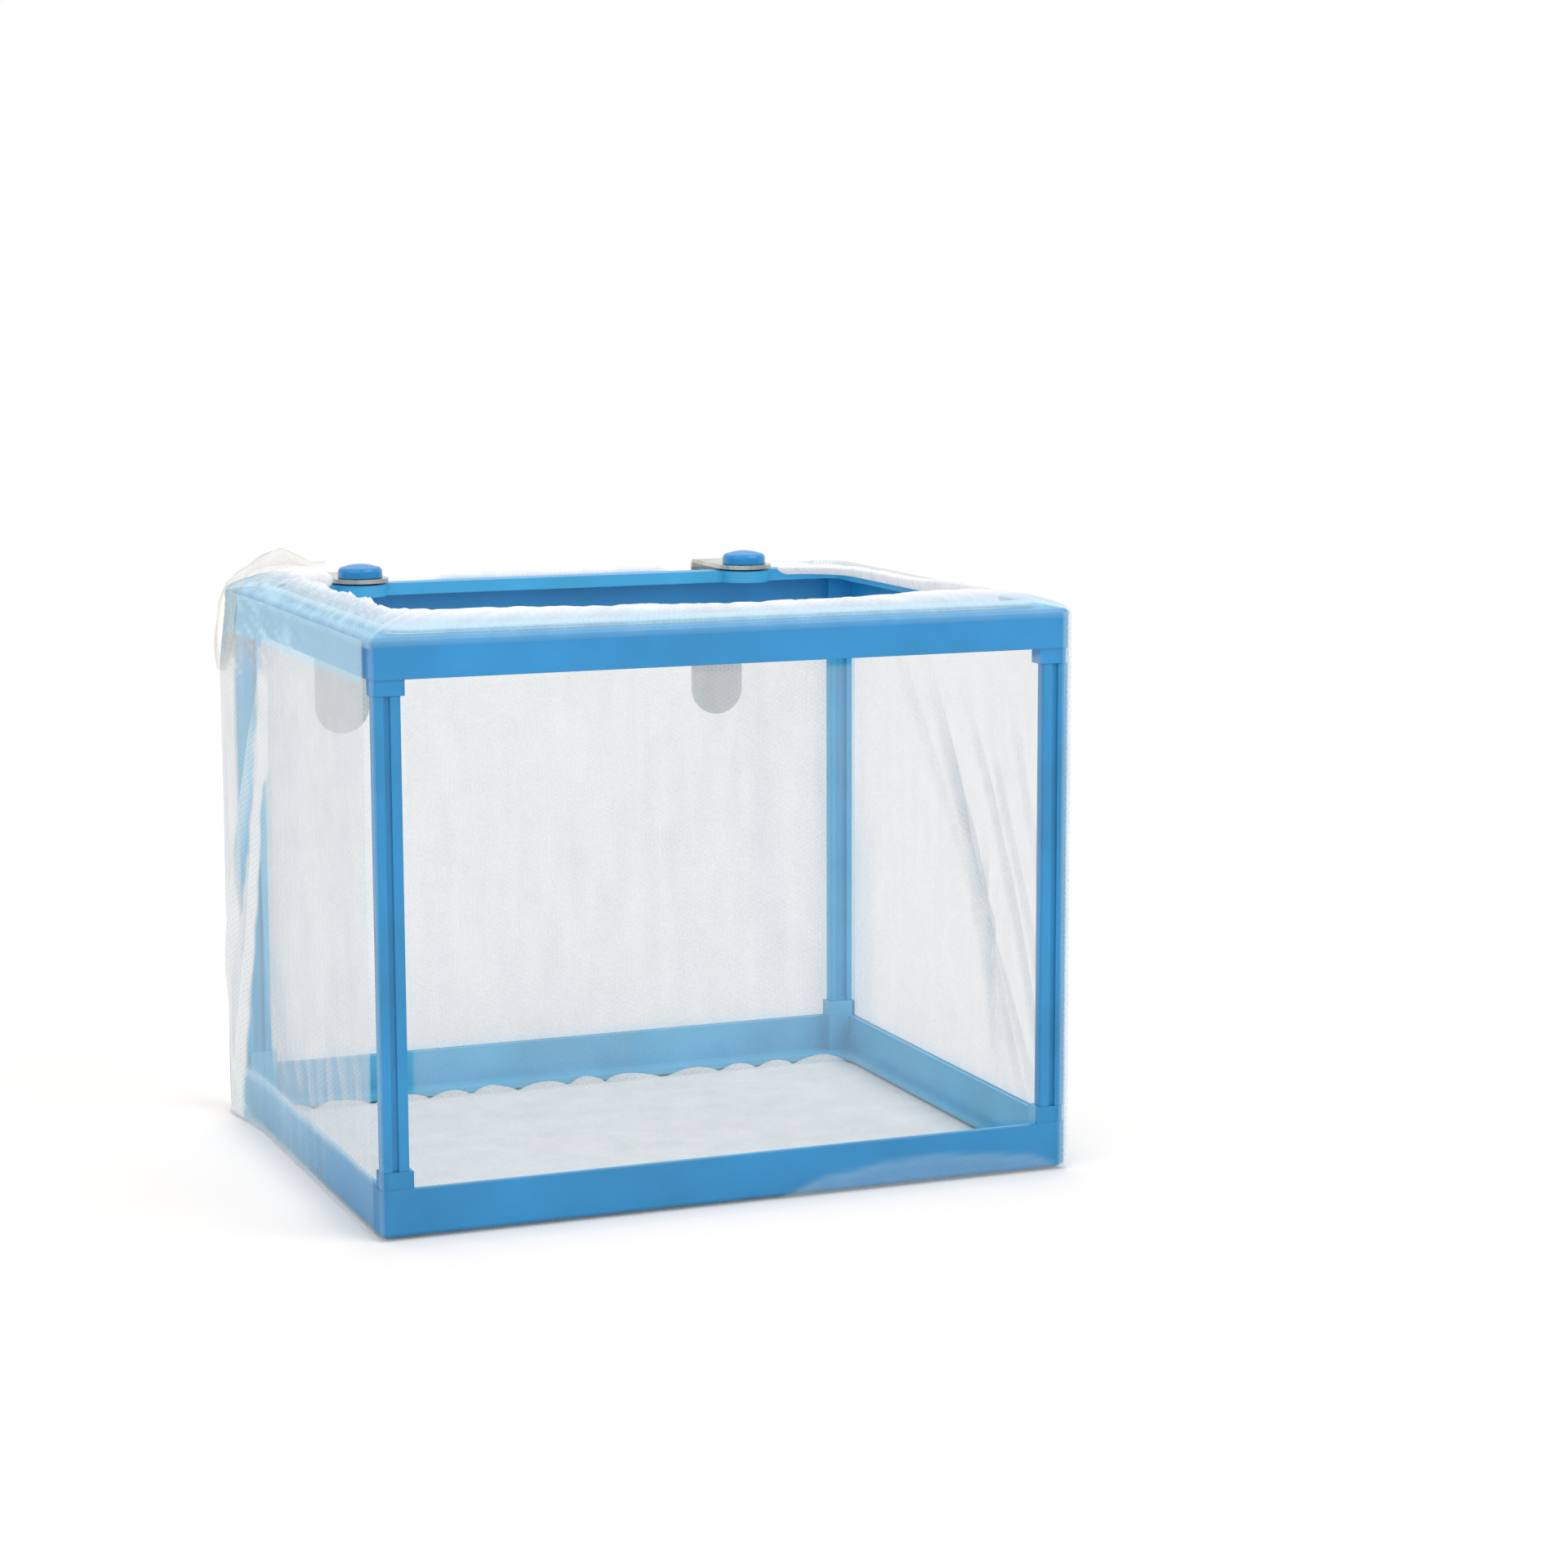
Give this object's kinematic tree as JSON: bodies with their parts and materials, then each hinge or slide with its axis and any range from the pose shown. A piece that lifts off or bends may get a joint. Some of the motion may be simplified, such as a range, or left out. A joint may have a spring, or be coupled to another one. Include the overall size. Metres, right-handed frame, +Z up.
{
  "type": "fish breeding box",
  "caption": "Open-topped box for young fish: a moulded plastic frame of rings and legs in a fine net bag with a gathered hem, hung on an aquarium wall by bent strips held with snap studs.",
  "frame": {"origin": "middle of the net floor's underside, the face that the box stands on", "axes": "+X to the right along the long side, +Y to the back where the hangers are, +Z up"},
  "size_m": [0.168, 0.1485, 0.1371],
  "materials": {
    "frame_plastic": "semi-gloss moulded blue plastic",
    "leg_plastic": "semi-gloss moulded blue plastic",
    "stud_plastic": "glossy moulded blue plastic",
    "net_fabric": "fine sheer white net",
    "hem_fabric": "gathered white net in many plies",
    "elastic_cord": "covered elastic cord",
    "hanger_steel": "plain rolled stainless strip"
  },
  "bodies": {
    "box": {"bottom_frame": "frame_plastic", "top_frame": "frame_plastic", "leg_front_left": "leg_plastic", "leg_front_right": "leg_plastic", "leg_rear_left": "leg_plastic", "leg_rear_right": "leg_plastic", "net_floor": "net_fabric", "net_front_wall": "net_fabric", "net_rear_wall": "net_fabric", "net_left_wall": "net_fabric", "net_right_wall": "net_fabric", "seam_floor": "net_fabric", "seam_front_left": "net_fabric", "seam_front_right": "net_fabric", "seam_rear_left": "net_fabric", "seam_rear_right": "net_fabric", "hem_front": "hem_fabric", "hem_left": "hem_fabric", "hem_right": "hem_fabric", "hem_rear": "hem_fabric", "hem_elastic": "elastic_cord", "stud_left": "stud_plastic", "stud_right": "stud_plastic"},
    "hanger_left": {"hanger_left": "hanger_steel"},
    "hanger_right": {"hanger_right": "hanger_steel"}
  },
  "joints": [
    {"name": "hanger_left_swivel", "type": "hinge", "parent": "box", "child": "hanger_left", "pos_m": [-0.051, 0.0605, 0.1328], "axis": [0, 0, 1], "range_deg": [-40, 40]},
    {"name": "hanger_right_swivel", "type": "hinge", "parent": "box", "child": "hanger_right", "pos_m": [0.051, 0.0605, 0.1328], "axis": [0, 0, 1], "range_deg": [-40, 40]}
  ]
}
